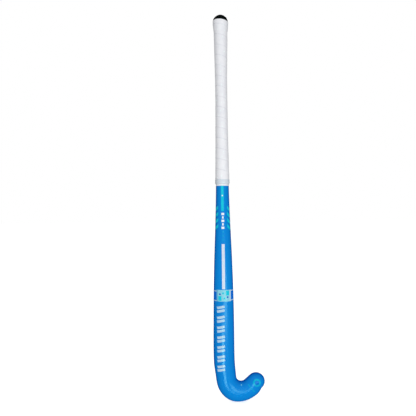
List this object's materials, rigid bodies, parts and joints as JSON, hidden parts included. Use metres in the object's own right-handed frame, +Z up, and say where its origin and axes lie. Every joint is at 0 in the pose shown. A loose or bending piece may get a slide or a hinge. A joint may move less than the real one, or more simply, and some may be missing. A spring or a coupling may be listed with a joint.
{
  "type": "field hockey stick",
  "caption": "Hollow composite field hockey stick with a flat striking face, rounded back, hooked head, wound white grip and rubber end cap.",
  "frame": {"origin": "on the handle's axis, 100 mm below the end of the laminate shell, in the upper hand's grip", "axes": "+Z up the stick towards the handle end, +X towards the toe, +Y out of the striking face; the rounded back faces -Y"},
  "size_m": [0.1216, 0.0475, 0.9228],
  "materials": {
    "blue_laminate": "glossy lacquered paint over fibre laminate",
    "tube_laminate": "bare cured fibre laminate",
    "liner_laminate": "bare aramid and carbon laminate",
    "core_foam": "rigid closed-cell foam",
    "cap_rubber": "satin moulded rubber",
    "wrap_white": "perforated cushioned polyurethane wrap, suede-like",
    "tape_grey": "stretched vinyl tape",
    "film_white": "printed transfer under lacquer",
    "film_cyan": "printed transfer under lacquer",
    "film_pale": "printed transfer under lacquer",
    "film_blue": "printed transfer under lacquer"
  },
  "bodies": {
    "root": {"outer_shell": "blue_laminate", "left_core_tube": "tube_laminate", "right_core_tube": "tube_laminate", "heel_reinforcement": "liner_laminate", "head_core": "core_foam", "handle_plug": "core_foam", "end_cap": "cap_rubber", "grip_wrap": "wrap_white", "finishing_tape": "tape_grey", "base_ring": "film_white", "centre_stripe": "film_cyan", "stripe_spot": "film_white", "title_tabs": "film_white", "centre_dashes": "film_cyan", "centre_bar": "film_pale", "left_chevrons": "film_cyan", "right_chevrons": "film_cyan", "belt_lines": "film_pale", "belt_field": "film_blue", "belt_panel": "film_pale", "belt_blocks": "film_cyan", "belt_spots": "film_blue", "blade_bars": "film_pale", "toe_line": "film_cyan", "toe_ring": "film_pale", "toe_ring_centre": "film_blue", "toe_spot": "film_pale"}
  },
  "joints": []
}
